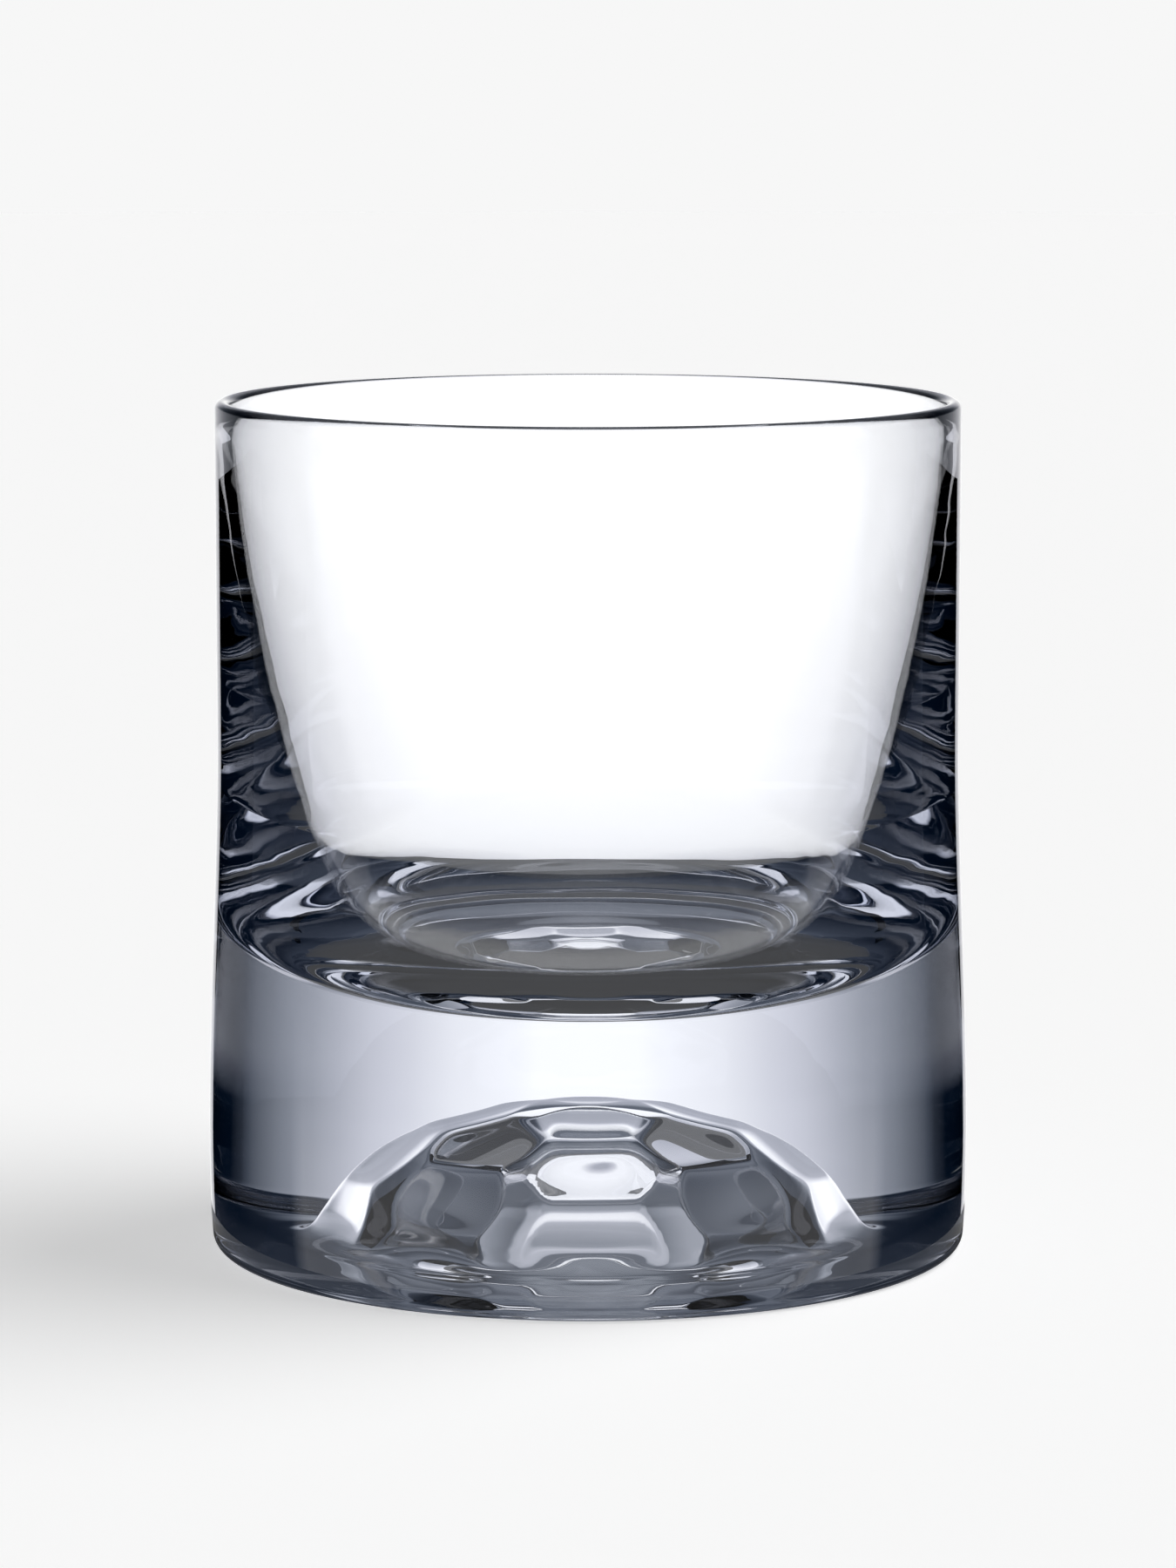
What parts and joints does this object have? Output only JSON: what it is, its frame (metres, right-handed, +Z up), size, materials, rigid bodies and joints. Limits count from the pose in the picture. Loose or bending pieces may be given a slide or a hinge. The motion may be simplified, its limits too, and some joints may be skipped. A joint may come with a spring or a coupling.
{
  "type": "whiskey tumbler",
  "caption": "Clear glass whiskey tumbler with a thin straight wall, a deep tapered cavity with a flat floor and a thick solid base hollowed from below by a faceted dome.",
  "frame": {"origin": "centre of the resting plane, under the foot ring", "axes": "+Z up along the tumbler's axis, towards the rim; +X and +Y across it, with a facet of the base hollow close to facing -Y"},
  "size_m": [0.088, 0.088, 0.098],
  "materials": {
    "clear_glass": "clear crystal glass, fire-polished, smooth"
  },
  "bodies": {
    "root": {"glass_body": "clear_glass"}
  },
  "joints": []
}
